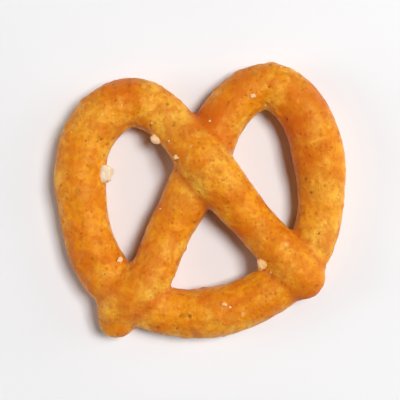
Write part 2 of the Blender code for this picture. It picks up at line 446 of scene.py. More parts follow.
def lattice_noise(points, size, seed):
    """Smooth noise, from about -1 to 1, in three dimensions.

    At each corner of a lattice of that size stands a random slope. The heights of the eight slopes
    round a point are blended by the quintic 6t^5 - 15t^4 + 10t^3 in each direction.
    """
    count = 256  # the slopes, which repeat after as many steps of the lattice
    gain = 1.6  # what the blend is multiplied by to reach about -1 and 1
    draw = np.random.default_rng(seed)
    order = draw.permutation(count)
    slopes = unit(draw.normal(size=(count, 3)))
    place = points / size + draw.uniform(0, count, 3)
    corner = np.floor(place).astype(int)
    part = place - corner
    blended = part**3 * (part * (part * 6 - 15) + 10)
    total = np.zeros(len(points))
    for step in np.ndindex(2, 2, 2):
        x, y, z = ((corner + step) % count).T
        slope = slopes[order[(order[(order[x] + y) % count] + z) % count]]
        weight = np.prod(np.where(step, blended, 1 - blended), axis=1)
        total += weight * dot(slope, part - step)
    return gain * total


def wandering(points, size, seeds):
    """A shift that changes smoothly from place to place: one noise for each direction."""
    return np.stack([lattice_noise(points, size, seed) for seed in seeds], axis=1)


def spots(points, centres, radii):
    """For each point, its distance from the nearest spot's middle in radii, and that spot's number."""
    share = np.empty(len(points))
    number = np.empty(len(points), int)
    for start in range(0, len(points), CHUNK):
        part = slice(start, start + CHUNK)
        away = np.linalg.norm(points[part, None] - centres[None], axis=2) / radii
        number[part] = away.argmin(axis=1)
        share[part] = away.min(axis=1)
    return share, number


def scattered(points, weights, count, radii, draw):
    """Middles and radii of that many spots: points drawn by weight, radii mostly near the low end."""
    low, high = radii
    chosen = draw.choice(len(points), count, replace=False, p=weights / weights.sum())
    return points[chosen], low + (high - low) * draw.random(count) ** 2


# -------------------- The rope as a curve


def smooth_line(marks, values, at):
    """A natural cubic spline: the values at the marks, carried smoothly to the places in `at`."""
    step = np.diff(marks)
    system = np.eye(len(marks))
    wanted = np.zeros_like(values)
    inner = np.arange(1, len(marks) - 1)
    system[inner, inner - 1] = step[:-1]
    system[inner, inner] = 2 * (step[:-1] + step[1:])
    system[inner, inner + 1] = step[1:]
    slope = np.diff(values, axis=0) / step[:, None]
    wanted[1:-1] = 6 * np.diff(slope, axis=0)
    bend = np.linalg.solve(system, wanted)
    left = np.clip(np.searchsorted(marks, at) - 1, 0, len(step) - 1)
    span = step[left][:, None]
    behind = (marks[left + 1] - at)[:, None] / span
    ahead = 1 - behind
    curved = (behind**3 - behind) * bend[left] + (ahead**3 - ahead) * bend[left + 1]
    return behind * values[left] + ahead * values[left + 1] + curved * span**2 / 6


def swell(along):
    """The share by which the rope is thicker or thinner at each place: a sum of sines, seeded."""
    draw = np.random.default_rng(SWELL_SEED)
    starts = draw.uniform(0, 2 * math.pi, len(SWELL_WAVES))
    waves = [
        np.sin(2 * math.pi * along / wave + start)
        for wave, start in zip(SWELL_WAVES, starts)
    ]
    return 1 + SWELL * np.sum(waves, axis=0) / math.sqrt(len(waves))


def tip_taper(from_end):
    """The share of its width that the rope has at a distance from its end: a quarter of an ellipse."""
    left = np.clip(1 - from_end / TIP_LENGTH, 0, 1)
    return TIP_BLUNTNESS + (1 - TIP_BLUNTNESS) * np.sqrt(1 - left**2)


def rope_of(dough, step):
    """The rope's centre line, a spline through the stations, and its half width, every `step` along it."""
    table = np.array([station[1:] for station in STATIONS])
    gaps = np.linalg.norm(np.diff(table[:, :2], axis=0), axis=1)
    marks = np.concatenate([[0], np.cumsum(gaps)])
    length = marks[-1]
    along = np.linspace(0, length, round(length / step) + 1)
    across, up_face, lift, share = smooth_line(marks, table, along).T
    half_width = dough.rope_width / MM / 2 * share * swell(along)
    height = dough.height_share * half_width - dough.pressed_flat / MM
    line = np.stack([across, up_face, height + np.maximum(lift, 0)], axis=1)
    return Rope(along, line, half_width, dough.height_share)


def closed_grid_faces(rings, sides):
    """The faces of a grid of rings: quads, closed round each ring, and triangles that close its ends.

    The triangles of each end meet at a corner of its own, and these two corners come after the rings.
    """
    ring, side = np.meshgrid(np.arange(rings - 1), np.arange(sides), indexing="ij")
    here = ring * sides
    ahead = (side + 1) % sides
    quads = np.stack([here + side, here + ahead, here + sides + ahead, here + sides + side], axis=-1)
    side = np.arange(sides)
    ahead = (side + 1) % sides
    first, last = rings * sides, rings * sides + 1
    start_cap = np.stack([ahead, side, np.full(sides, first)], axis=1)
    end_cap = np.stack([side, ahead, np.full(sides, last)], axis=1)
    end_cap[:, :2] += (rings - 1) * sides
    return [quads.reshape(-1, quads.shape[-1]), start_cap, end_cap]


def rope_tube(rope):
    """The rope as a closed tube: a profile carried along the path.

    At each place s along the line c(s), with the level side direction a(s) and the up direction b, the
    ring is c + r(s) (a cos t + h b sin t), t from 0 to a full turn, where r is the half width and h
    the height share. What would lie below the oven band is raised to it.
    """
    length = rope.along[-1]
    radius = rope.half_width * tip_taper(rope.along) * tip_taper(length - rope.along)
    ahead = unit(np.gradient(rope.line, axis=0))
    aside = unit(np.cross(ahead, (0, 0, 1)))
    above = np.cross(aside, ahead)
    turn = np.linspace(0, 2 * math.pi, RING_SIDES, endpoint=False)[None, :, None]
    ring = aside[:, None] * np.cos(turn) + above[:, None] * np.sin(turn) * rope.height_share
    points = rope.line[:, None] + ring * radius[:, None, None]
    points = np.concatenate([points.reshape(-1, 3), rope.line[[0, -1]]])
    points[:, 2] = np.maximum(points[:, 2], 0)
    return points, closed_grid_faces(len(rope.line), RING_SIDES)


def to_frame(dough):
    """The move from the frame of the stations to that of the solid, which has its box's middle at 0."""
    points, _ = rope_tube(rope_of(dough, RING_STEP))
    low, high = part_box(NODE)
    middle = (points.min(axis=0) + points.max(axis=0)) / 2
    return np.array([*(np.array((low + high)[:2]) / 2 / MM - middle[:2]), 0])


def at_place(rope, place, values):
    """The rope's values at places along it, linear between its closely set rings."""
    return np.stack(
        [np.interp(place, rope.along, column) for column in np.atleast_2d(values.T)],
        axis=-1,
    )


def way_on(rope, place, reach):
    """The straight way along the rope from `reach` behind each place to `reach` ahead of it."""
    return at_place(rope, place + reach, rope.line) - at_place(rope, place - reach, rope.line)


def bend_of(rope):
    """How sharply the line bends at each ring, signed: positive where it turns left, per millimetre."""
    ahead = np.gradient(rope.line[:, :2], rope.along, axis=0)
    turn = np.gradient(ahead, rope.along, axis=0)
    return ahead[:, 0] * turn[:, 1] - ahead[:, 1] * turn[:, 0]


# -------------------- The dough as a field: how far a point is outside it


def nearest_rings(points, rope, gap):
    """The ring nearest each point, and the nearest of the rings over `gap` away from it along the rope."""
    every = max(1, round(RING_STEP / (rope.along[1] - rope.along[0])))
    along = rope.along[::every]
    line = rope.line[::every]
    half_width = rope.half_width[::every]
    first = np.empty(len(points))
    second = np.empty(len(points))
    for start in range(0, len(points), CHUNK):
        part = slice(start, start + CHUNK)
        away = np.linalg.norm(points[part, None] - line[None], axis=2) - half_width
        near = along[away.argmin(axis=1)]
        away[np.abs(along[None] - near[:, None]) <= gap] = np.inf
        first[part] = near
        second[part] = along[away.argmin(axis=1)]
    return first, second


def strand_distance(points, rope, place):
    """How far points are outside the strand near a place, the outward direction, and the exact place.

    The place moves to the foot of the perpendicular by Newton's rule. Heights are stretched so that the
    rope is round, and the distance is then the one to the centre line less the half width.
    """
    first_end, last_end = rope.half_width[[0, -1]]
    place = np.clip(place, first_end, rope.along[-1] - last_end)
    lowest = np.maximum(place - 2 * RING_STEP, first_end)
    highest = np.minimum(place + 2 * RING_STEP, rope.along[-1] - last_end)
    for _ in range(REFINEMENTS):
        foot = at_place(rope, place, rope.line)
        ahead = way_on(rope, place, FINE_STEP)
        speed = np.maximum(np.linalg.norm(ahead, axis=1), TINY)
        place = place + dot(points - foot, ahead) / speed**2 * (2 * FINE_STEP)
        place = np.clip(place, lowest, highest)
    out = points - at_place(rope, place, rope.line)
    away = np.linalg.norm(out, axis=1)
    radius = at_place(rope, place, rope.half_width)[:, 0]
    return away - radius, unit(out), place


def dough_field(points, rope, dough):
    """How far points are outside the fused dough, with the outward direction and the place on the rope.

    Two strands flow together by a smooth minimum of their distances, as far as the fillet says. The
    oven band then cuts them by a smooth maximum of that distance and the depth below the band, which
    is less the smooth minimum of the two with their signs turned.
    """
    stretch = np.array([1, 1, 1 / rope.height_share])
    round_rope = rope._replace(line=rope.line * stretch)
    stretched = points * stretch
    first, second = nearest_rings(stretched, round_rope, STRAND_GAP)
    near, near_out, place = strand_distance(stretched, round_rope, first)
    far, far_out, other = strand_distance(stretched, round_rope, second)
    fillet = dough.fillet / MM
    far = far + fillet * (1 - rise(np.abs(other - place), STRAND_GAP, STRAND_GAP + STRAND_FADE))
    outside, weight, crease = soft_least(near, far, fillet)
    out = (near_out * weight + far_out * (1 - weight)) * stretch
    inside, weight, _ = soft_least(-outside, points[:, 2], dough.edge / MM)
    out = out * weight + np.array([0, 0, -1]) * (1 - weight)
    return Field(-inside, out, place, crease)


def settle_on(points, rope, dough, level=0.0):
    """Moves points along the outward direction until they are `level` outside the dough."""
    flattest = 0.2  # the field is taken to be at least this steep, squared
    for _ in range(SETTLE_STEPS):
        field = dough_field(points, rope, dough)
        steep = np.maximum(dot(field.out, field.out)[:, None], flattest)
        points = points - (field.outside - level)[:, None] * field.out / steep
    return points


# -------------------- Relief


def rope_coordinates(points, place, rope):
    """Places on the unrolled skin: the distance along the rope, and round it across and up."""
    nearby = 0.5  # the way along the rope is taken over this far each way
    centre = at_place(rope, place, rope.line)
    aside = unit(np.cross(way_on(rope, place, nearby), (0, 0, 1)))
    out = points - centre
    return np.stack([place, dot(out, aside), out[:, 2]], axis=1)


def streaks_of(points, skin):
    """Streaks that rolling draws out along the rope, from about -1 to 1, and their strength.

    They are noise on the unrolled skin, drawn out along the rope and winding slowly round it, and they
    are strongest where the skin is stretched.
    """
    drawn = skin / (STREAK_LENGTH, 1, 1)
    drawn[:, 1] += STREAK_WINDING * skin[:, 0]
    away = np.linalg.norm(points[:, :2] - STRETCHED[:2], axis=1) / STRETCHED[2]
    strength = FAINT_STREAKS + (1 - FAINT_STREAKS) * (1 - rise(away, *STRETCHED_EDGE))
    return lattice_noise(drawn, *STREAK_NOISE), strength


def wrinkles_of(points, skin, bend):
    """Wrinkles across the rope, from 0 to 1: the crests of 1 - |noise| on the unrolled skin.

    They are deep on the inside of the rope's bends, away from its crest, and faint in patches elsewhere.
    """
    across = skin[:, 1]
    inside = rise(np.sign(across) * bend, *BEND_EDGE) * rise(np.abs(across), *INSIDE_EDGE)
    drawn = skin / (1, WRINKLE_LENGTH, WRINKLE_LENGTH)
    folds = rise(1 - np.abs(lattice_noise(drawn, *WRINKLE_NOISE)), *WRINKLE_EDGE)
    patch = rise(lattice_noise(points, *WRINKLED_NOISE), *WRINKLED_EDGE)
    return folds * np.maximum(inside, FAINT_WRINKLES * patch)


def toned_patches(points):
    """How far each point is paler, and how far it is browner, by the table of patches, from 0 to 1. The
    patches are partly the oven's tone and partly painted highlight and painted shade.
    """
    ragged = points[:, :2] + wandering(points, PATCH_RAGGED, PATCH_SEEDS)
    paler = np.zeros(len(points))
    browner = np.zeros(len(points))
    for _, across, up_face, reach, tone in PATCHES:
        away = np.linalg.norm(ragged - (across, up_face), axis=1)
        toned = tone * (1 - rise(away / reach, *PATCH_EDGE))
        paler = np.maximum(paler, toned)
        browner = np.maximum(browner, -toned)
    return paler, browner


def skin_relief(points, field, rope, dough):
    """The height of the skin over the smooth dough, and the masks that the material reads.

    The height is a sum: broad lumps, dimples, streaks drawn out along the rope by rolling, wrinkles
    across it on the inside of its bends, domes for blisters, and pits for pores and salt scars.
    """
    rising = field.out[:, 2]
    up = np.clip(rising, 0, 1)
    open_skin = rise(points[:, 2], *OPEN_EDGE)
    lumps, bumps = (lattice_noise(points, *noise) for noise in LUMP_NOISES)
    dimples, pits = (lattice_noise(points, *noise) for noise in DIMPLE_NOISES)
    skin = rope_coordinates(points, field.place, rope)
    streaks, strength = streaks_of(points, skin)
    wrinkles = wrinkles_of(points, skin, at_place(rope, field.place, bend_of(rope))[:, 0])

    draw = np.random.default_rng(RELIEF_SEED)
    weights = open_skin * (FLANK_SPOTS + up)

    def spread(count, radii, seen):
        """That many spots: each point's distance from the nearest in radii, and that spot's radius."""
        centres, sizes = scattered(points, weights, count, radii, draw)
        share, number = spots(seen, centres, sizes)
        return share, sizes[number]

    ragged = points + RAGGED[0] * wandering(points, RAGGED[1], RAGGED_SEEDS)
    share, radius = spread(dough.blisters, BLISTER_RADII, points)
    blister = np.clip(1 - share**2, 0, 1) ** BLISTER_POWER
    pore = 1 - rise(spread(dough.pores, PORE_RADII, points)[0], *PORE_EDGE)
    scar = 1 - rise(spread(dough.scars, SCAR_RADII, ragged)[0], *SCAR_EDGE)
    burn = 1 - rise(spread(dough.burns, BURN_RADII, ragged)[0], *BURN_EDGE)

    height = (
        dough.lumps / MM * (lumps + (FLANK_LUMPS + up) * bumps)
        + dough.dimples / MM * (dimples + FINE_DIMPLES * pits + STREAK_HEIGHT * strength * streaks)
        - dough.wrinkles / MM * wrinkles
        + BLISTER_HEIGHT * radius * blister
        - PORE_DEPTH * pore
        - SCAR_DEPTH * scar
        - SKIN_LEVEL
    )
    height *= PRESSED_SHARE + (1 - PRESSED_SHARE) * open_skin
    paler, browner = toned_patches(points)
    masks = {
        # The paler and browner masks carry painted highlight and painted shade as well as the oven's tone.
        "paler": paler * (PALER_BELOW + (1 - PALER_BELOW) * rise(rising, *PALER_EDGE)),
        "browner": browner,
        "blister": blister * open_skin,
        "pore": pore * open_skin,
        "scar": scar * open_skin,
        "burn": burn * open_skin,
        "streak": strength * rise(-streaks, *STREAK_EDGE),
        # Where the strands flow together; the material darkens it as painted shade.
        "crease": field.crease,
        "wrinkle": wrinkles,
        "crest": rise(rising, *CREST_EDGE),
        "flank": 1 - rise(rising, *FLANK_EDGE),
        "underside": 1 - rise(points[:, 2], *UNDERSIDE_EDGE),
    }
    return height, masks


# -------------------- Meshes


def corner_values(mesh, name):
    """A vector at each corner of a mesh, such as its place or its normal, as an array."""
    values = np.empty(len(mesh.vertices) * 3, np.float32)
    mesh.vertices.foreach_get(name, values)
    return values.reshape(-1, 3).astype(float)


def carry(mesh, name, mask):
    """Puts a mask on the mesh, as a value at each corner."""
    layer = mesh.attributes.new(name, "FLOAT", "POINT")
    layer.data.foreach_set("value", mask.astype(np.float32))


def mesh_of(name, points, faces):
    """A mesh from an array of points and a list of arrays of faces."""
    mesh = bpy.data.meshes.new(name)
    mesh.from_pydata(points.tolist(), [], [face for part in faces for face in part.tolist()])
    mesh.update()
    return mesh


def joined(shapes):
    """Several shapes, each of points and arrays of faces, as one."""
    starts = np.cumsum([0] + [len(points) for points, _ in shapes[:-1]])
    faces = [part + start for (_, own), start in zip(shapes, starts) for part in own]
    return np.concatenate([points for points, _ in shapes]), faces


def without_doubles(mesh):
    """Merges the few corners of a mesh that came to lie on each other, in creases."""
    form = bmesh.new()
    form.from_mesh(mesh)
    bmesh.ops.remove_doubles(form, verts=form.verts, dist=DOUBLES * MM)
    form.to_mesh(mesh)
    form.free()


def fused_surface(points, faces, voxel):
    """One even skin of quads round the closed shape, by a voxel remesh. Sizes stay in millimetres."""
    tube = bpy.data.objects.new("rope_tube", mesh_of("rope_tube", points, faces))
    bpy.context.scene.collection.objects.link(tube)
    remesh = tube.modifiers.new("fuse", "REMESH")
    remesh.mode = "VOXEL"
    remesh.voxel_size = voxel
    graph = bpy.context.evaluated_depsgraph_get()
    skin = bpy.data.meshes.new_from_object(tube.evaluated_get(graph))
    bpy.data.meshes.remove(tube.data)  # the tube's object goes with it
    return skin


def fitted(points):
    """Points stretched each way, by the little it takes, to lie just inside the solid's box."""
    low, high = (np.array(corner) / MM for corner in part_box(NODE))
    low = low + (HAIR, HAIR, 0)
    high = high - HAIR
    own_low, own_high = points.min(axis=0), points.max(axis=0)
    return low + (points - own_low) / (own_high - own_low) * (high - low)


def crust_mesh(dough):
    """The crust: the fused rope, drawn onto the smooth dough, with its relief, in metres."""
    rope = rope_of(dough, FINE_STEP)
    mesh = fused_surface(*rope_tube(rope_of(dough, RING_STEP)), dough.voxel / MM)
    points = settle_on(corner_values(mesh, "co"), rope, dough)
    field = dough_field(points, rope, dough)
    field = field._replace(out=unit(field.out))
    height, masks = skin_relief(points, field, rope, dough)
    points = points + field.out * height[:, None]
    points[:, 2] = np.maximum(points[:, 2], 0)
    points = fitted(points) * MM
    mesh.vertices.foreach_set("co", points.astype(np.float32).ravel())
    for name, mask in masks.items():
        carry(mesh, name, mask)
    without_doubles(mesh)
    mesh.update()
    mesh.shade_smooth()
    return mesh


# -------------------- Salt


def grain_seats(rope, dough):
    """Where the middle of each grain of salt sits.

    A grain falls straight down onto the dough: at each step by its distance outside the dough, over the
    upward part of the outward direction. One beside the rope falls to the height of its widest place,
    and is then drawn to the flank.
    """
    steepest = 0.5  # the dough is taken to face up by at least this much
    places = np.array([(across, up_face, FALL_FROM) for _, across, up_face, *_ in SALT_GRAINS])
    above = SEAT_SHARE * np.array([length for _, _, _, length, *_ in SALT_GRAINS])
    for _ in range(FALL_STEPS):
        field = dough_field(places, rope, dough)
        fall = (field.outside - above) / np.maximum(field.out[:, 2], steepest)
        places[:, 2] = np.maximum(places[:, 2] - fall, WIDEST_AT)
    return settle_on(places, rope, dough, above) + to_frame(dough)


def crystal(length, breadth, heading, draw):
    """One rough crystal: in the direction d its surface is at (sum (max(n.d, 0) / h)^p)^(-1/p).

    That is a polyhedron whose facets have the normals n and the distances h, with edges that are
    sharper the larger the power p is. The directions are rings from pole to pole, and noise of two
    sizes makes the facets uneven. It lies on its broad side, a little tilted, its length along `heading`.
    """
    block = np.concatenate([np.eye(3), -np.eye(3)])
    normals = np.concatenate([block, draw.normal(size=(CRYSTAL_FACETS - len(block), 3))])
    normals = unit(normals + draw.normal(scale=FACET_TURN, size=normals.shape))
    distances = draw.uniform(*FACET_DISTANCES, CRYSTAL_FACETS)
    polar = np.linspace(math.pi, 0, CRYSTAL_RINGS + 2)[1:-1]
    turn = np.linspace(0, 2 * math.pi, CRYSTAL_SIDES, endpoint=False)
    polar, turn = np.meshgrid(polar, turn, indexing="ij")
    level = np.sin(polar)
    away = np.stack([level * np.cos(turn), level * np.sin(turn), np.cos(polar)], axis=-1)
    away = np.concatenate([away.reshape(-1, 3), [(0, 0, -1), (0, 0, 1)]])
    reach = np.maximum(away @ normals.T, 0) / distances
    points = away * ((reach**CRYSTAL_POWER).sum(axis=1) ** (-1 / CRYSTAL_POWER))[:, None]
    seed = int(draw.integers(1000))
    rough = sum(
        height * lattice_noise(points, size, seed + number)
        for number, (height, size) in enumerate(CRYSTAL_NOISES)
    )
    points *= 1 + rough[:, None]
    points *= np.array([1.0, breadth, CRYSTAL_HEIGHT * breadth]) * length / 2
    tilt = draw.uniform(-CRYSTAL_TILT, CRYSTAL_TILT, 2)
    turned = Euler((*tilt, math.radians(heading))).to_matrix()
    return points @ np.array(turned).T, closed_grid_faces(CRYSTAL_RINGS, CRYSTAL_SIDES)


def crumb(size, draw):
    """A crumb: a ring of corners between two points, each corner a little astray, turned at random."""
    side = np.arange(CRUMB_SIDES)
    ahead = (side + 1) % CRUMB_SIDES
    turn = 2 * math.pi * side / CRUMB_SIDES
    level = np.where(side % 2, CRUMB_ZIGZAG, -CRUMB_ZIGZAG)
    ring = np.stack([np.cos(turn), np.sin(turn), level], axis=1)
    points = np.concatenate([ring, [(0, 0, CRUMB_TIPS), (0, 0, -CRUMB_TIPS)]])
    points += draw.uniform(-CRUMB_ASTRAY, CRUMB_ASTRAY, points.shape)
    turned = Quaternion(draw.normal(size=4)).normalized().to_matrix()
    top = np.stack([side, ahead, np.full(CRUMB_SIDES, CRUMB_SIDES)], axis=1)
    bottom = np.stack([ahead, side, np.full(CRUMB_SIDES, CRUMB_SIDES + 1)], axis=1)
    return points @ np.array(turned) * size / 2, [top, bottom]


def grains_mesh(seats, draw):
    """The grains of salt as one mesh, which carries how clear each of them is."""
    shapes = []
    clearness = []
    for seat, (_, _, _, length, breadth, heading, clear) in zip(seats, SALT_GRAINS):
        points, faces = crystal(length, breadth, heading, draw)
        shapes.append((points + seat, faces))
        clearness.append(np.full(len(points), clear))
    points, faces = joined(shapes)
    mesh = mesh_of("salt_grains", points * MM, faces)
    carry(mesh, "clearness", np.concatenate(clearness))
    mesh.shade_smooth()
    mesh.set_sharp_from_angle(angle=math.radians(FACET_ANGLE))
    return mesh


def crumbs_mesh(crust, seats, count, draw):
    """The crumbs of salt as one mesh: on the upper side of the crust, most of them near the grains."""
    points = corner_values(crust, "co") / MM
    upward = corner_values(crust, "normal")[:, 2] > CRUMB_UPWARD
    spread = points[upward & (points[:, 2] < points[:, 2].max() - CRUMB_FREE)]
    away, _ = spots(spread, seats, np.full(len(seats), CRUMB_REACH))
    places, _ = scattered(spread, CRUMB_STRAYS + np.exp(-(away**2)), count, (0, 0), draw)
    shapes = []
    for place, size in zip(places, draw.uniform(*CRUMB_SIZES, len(places))):
        points, faces = crumb(size, draw)
        shapes.append((points + place, faces))
    points, faces = joined(shapes)
    mesh = mesh_of("salt_crumbs", points * MM, faces)
    carry(mesh, "clearness", np.full(len(mesh.vertices), CRUMB_CLEARNESS))
    return mesh


# -------------------- Node groups


def node(tree, kind, inputs=(), **settings):
    """A new node of that kind, with its settings, and with its inputs set or linked by name or number."""
    made = tree.nodes.new(kind)
    for name, value in settings.items():
        setattr(made, name, value)
    for name, value in dict(inputs).items():
        if isinstance(value, bpy.types.NodeSocket):
            tree.links.new(value, made.inputs[name])
        else:
            made.inputs[name].default_value = value
    return made


def times(tree, first, second):
    """The product of two values."""
    return node(tree, "ShaderNodeMath", {0: first, 1: second}, operation="MULTIPLY").outputs[0]


def ranged(tree, value, low, high):
    """A mask from 0 to 1 carried to the range from low to high."""
    inputs = {"Value": value, "To Min": low, "To Max": high}
    return node(tree, "ShaderNodeMapRange", inputs).outputs["Result"]


def soft_step(tree, value, start, end, **ends):
    """A value that goes softly from 0 at a start to 1 at an end, or between other ends if given."""
    inputs = {"Value": value, "From Min": start, "From Max": end, **ends}
    made = node(tree, "ShaderNodeMapRange", inputs, interpolation_type="SMOOTHSTEP")
    return made.outputs["Result"]


def group(name, values, output):
    """A new shader node group, with coordinates and the named values as inputs, and one output.

    Returns the group, its input node, and the socket that its result goes to.
    """
    made = bpy.data.node_groups.new(name, "ShaderNodeTree")
    made.interface.new_socket("Vector", in_out="INPUT", socket_type="NodeSocketVector")
    for label, default in values.items():
        socket = made.interface.new_socket(label, in_out="INPUT", socket_type="NodeSocketFloat")
        socket.default_value = default
    made.interface.new_socket(output, in_out="OUTPUT", socket_type="NodeSocketFloat")
    given = made.nodes.new("NodeGroupInput")
    return made, given, made.nodes.new("NodeGroupOutput").inputs[output]


def sized_texture(tree, given, kind, inputs=()):
    """A texture at a group's coordinates, whose cells have the group's size in millimetres."""
    scale = node(tree, "ShaderNodeMath", {0: 1 / MM, 1: given.outputs["Size"]}, operation="DIVIDE")
    places = {"Vector": given.outputs["Vector"], "Scale": scale.outputs[0]}
    return node(tree, kind, {**places, **dict(inputs)})


def mottle_group():
    """Soft patches: a mask from noise, with the values at which the patches start and are full."""
    values = {"Size": 1.0, "Start": 0.4, "End": 0.6, "Detail": 2.0, "Warp": 0.4}
    tree, given, result = group("Mottle", values, "Mask")
    detail, warp = given.outputs["Detail"], given.outputs["Warp"]
    inputs = {"Detail": detail, "Roughness": 0.6, "Distortion": warp}
    noise = sized_texture(tree, given, "ShaderNodeTexNoise", inputs).outputs["Fac"]
    tree.links.new(soft_step(tree, noise, given.outputs["Start"], given.outputs["End"]), result)
    return tree


def freckle_group():
    """Small round spots, one in each cell, each as wide as its own random share of a width."""
    tree, given, result = group("Freckles", {"Size": 1.0, "Width": 0.3}, "Mask")
    cells = sized_texture(tree, given, "ShaderNodeTexVoronoi").outputs
    chance = node(tree, "ShaderNodeSeparateColor", {"Color": cells["Color"]}).outputs["Red"]
    width = times(tree, chance, given.outputs["Width"])
    tree.links.new(soft_step(tree, cells["Distance"], width, 0.0), result)
    return tree


def grain_group():
    """Fine relief: the height of noise."""
    tree, given, result = group("Fine Grain", {"Size": 0.3}, "Height")
    inputs = {"Detail": 3.0, "Roughness": 0.55}
    noise = sized_texture(tree, given, "ShaderNodeTexNoise", inputs).outputs["Fac"]
    tree.links.new(noise, result)
    return tree


EFFECTS = {"Mottle": mottle_group, "Freckles": freckle_group, "Fine Grain": grain_group}


# -------------------- Materials


def use(tree, name, where, **values):
    """An effect placed in a material with its own values; its group is built the first time.

    Returns the effect's output.
    """
    effect = bpy.data.node_groups.get(name) or EFFECTS[name]()
    inputs = {"Vector": where, **values}
    return node(tree, "ShaderNodeGroup", inputs, node_tree=effect).outputs[0]


def blend(tree, mask, under, over, strength=1.0):
    """One colour over another by a mask, at most by `strength`."""
    share = times(tree, mask, strength)
    mixed = node(tree, "ShaderNodeMix", {"Factor": share}, data_type="RGBA")
    colours = [socket for socket in mixed.inputs if socket.type == "RGBA"]
    for socket, value in zip(colours, (under, over)):
        if isinstance(value, bpy.types.NodeSocket):
            tree.links.new(value, socket)
        else:
            socket.default_value = (*value, 1.0)
    return next(socket for socket in mixed.outputs if socket.type == "RGBA")


def mask_of(tree, name):
    """A mask that the mesh carries as an attribute."""
    return node(tree, "ShaderNodeAttribute", attribute_name=name).outputs["Fac"]


def bump(tree, height, strength, depth, **under):
    """The normal of a bump of that depth in millimetres, on top of another normal if one is given."""
    inputs = {"Height": height, "Strength": strength, "Distance": depth * MM, **under}
    return node(tree, "ShaderNodeBump", inputs).outputs["Normal"]


def new_material(name):
    """A material, its tree, its shader's inputs and the coordinates of the object it is on."""
    material = bpy.data.materials.new(name)
    material.use_nodes = True
    tree = material.node_tree
    where = tree.nodes.new("ShaderNodeTexCoord").outputs["Object"]
    return material, tree, tree.nodes["Principled BSDF"].inputs, where


def crust_material(crust):
    """Baked crust: golden, with browner patches, freckles, dark pores, pale scars and a satin skin."""
    material, tree, shader, where = new_material("baked_crust")
    honey, toasted = tuple(crust.honey), tuple(crust.toasted)
    dark, pale = tuple(crust.dark), tuple(crust.pale)

    glow = use(tree, "Mottle", where, Size=4.2, Start=0.48, End=0.62)
    patches = use(tree, "Mottle", where, Size=2.6, Start=0.43, End=0.60, Detail=4.0)
    fine = use(tree, "Mottle", where, Size=0.8, Start=0.42, End=0.64, Detail=3.0)
    bubbles = use(tree, "Freckles", where, Size=0.62, Width=0.55)
    freckles = use(tree, "Freckles", where, Size=1.5, Width=0.20)

    # What lies over the golden ground, from the bottom up: its mask, its colour and its strength.
    layers = (
        (glow, honey, 0.45),
        # Paler patches: the oven's tone and painted highlight.
        (mask_of(tree, "paler"), honey, 0.9),
        (mask_of(tree, "flank"), honey, 0.15),
        (mask_of(tree, "crest"), toasted, 0.22),
        # Browner patches: the oven's tone and painted shade.
        (mask_of(tree, "browner"), toasted, 0.85),
        (patches, toasted, 0.48),
        (fine, toasted, 0.40),
        (mask_of(tree, "streak"), toasted, 0.4),
        (bubbles, toasted, 0.40),
        (mask_of(tree, "blister"), toasted, 0.40),
        (freckles, dark, 0.45),
        (mask_of(tree, "burn"), dark, 0.35),
        (mask_of(tree, "wrinkle"), dark, 0.22),
        # Painted shade: the creases where the strands lie on each other are darkened.
        (mask_of(tree, "crease"), toasted, 0.6),
        (mask_of(tree, "underside"), toasted, 0.7),
        (mask_of(tree, "pore"), dark, 0.75),
        (mask_of(tree, "scar"), pale, 0.5),
    )
    colour = tuple(crust.golden)
    for mask, over, strength in layers:
        colour = blend(tree, mask, colour, over, strength)
    tree.links.new(colour, shader["Base Color"])

    duller = 0.16  # how much rougher the browner patches are
    rough = ranged(tree, patches, crust.roughness, crust.roughness + duller)
    tree.links.new(rough, shader["Roughness"])
    skin = bump(tree, bubbles, strength=0.9, depth=0.10)
    grain = use(tree, "Fine Grain", where, Size=0.40)
    normal = bump(tree, grain, strength=0.9, depth=0.13, Normal=skin)
    tree.links.new(normal, shader["Normal"])
    shader["Specular IOR Level"].default_value = 0.3
    shader["Specular Tint"].default_value = (1.0, 0.74, 0.30, 1.0)
    return material


def salt_material(salt):
    """Coarse salt: milky with warmer clouds, and where it is clear, the crust below painted into its
    colour as if seen through it, with a grainy, softly shining surface.
    """
    material, tree, shader, where = new_material("coarse_salt")
    white = tuple(salt.milky)
    warmth = (0.92, 0.80, 0.60)  # the share of each channel that is left in the warmer clouds
    warm = tuple(channel * share for channel, share in zip(white, warmth))
    cloud = use(tree, "Mottle", where, Size=0.7, Start=0.40, End=0.68)
    milky = blend(tree, cloud, white, warm, strength=0.5)
    # Painted: where the salt is clear, the crust seen through it is mixed into its colour.
    colour = blend(tree, mask_of(tree, "clearness"), milky, tuple(salt.clear))
    tree.links.new(colour, shader["Base Color"])
    tree.links.new(ranged(tree, cloud, 0.30, 0.55), shader["Roughness"])
    grain = use(tree, "Fine Grain", where, Size=0.16)
    tree.links.new(bump(tree, grain, strength=0.8, depth=0.05), shader["Normal"])
    shader["Subsurface Weight"].default_value = 0.4
    shader["Subsurface Radius"].default_value = (1.0, 0.8, 0.6)
    shader["Subsurface Scale"].default_value = 0.6 * MM
    return material


def floor_material(stage):
    """The floor: plain, pale and matt, with barely visible clouding."""
    material, tree, shader, where = new_material("pale_floor")
    plain = tuple(stage.floor)
    shading = 0.985  # the share of its colour that the floor has in its clouds
    shade = tuple(channel * shading for channel in plain)
    cloud = use(tree, "Mottle", where, Size=40.0, Start=0.35, End=0.65)
    tree.links.new(blend(tree, cloud, plain, shade), shader["Base Color"])
    tree.links.new(ranged(tree, cloud, 0.55, 0.6), shader["Roughness"])
    shader["Specular IOR Level"].default_value = 0.2
    return material


# -------------------- Pieces


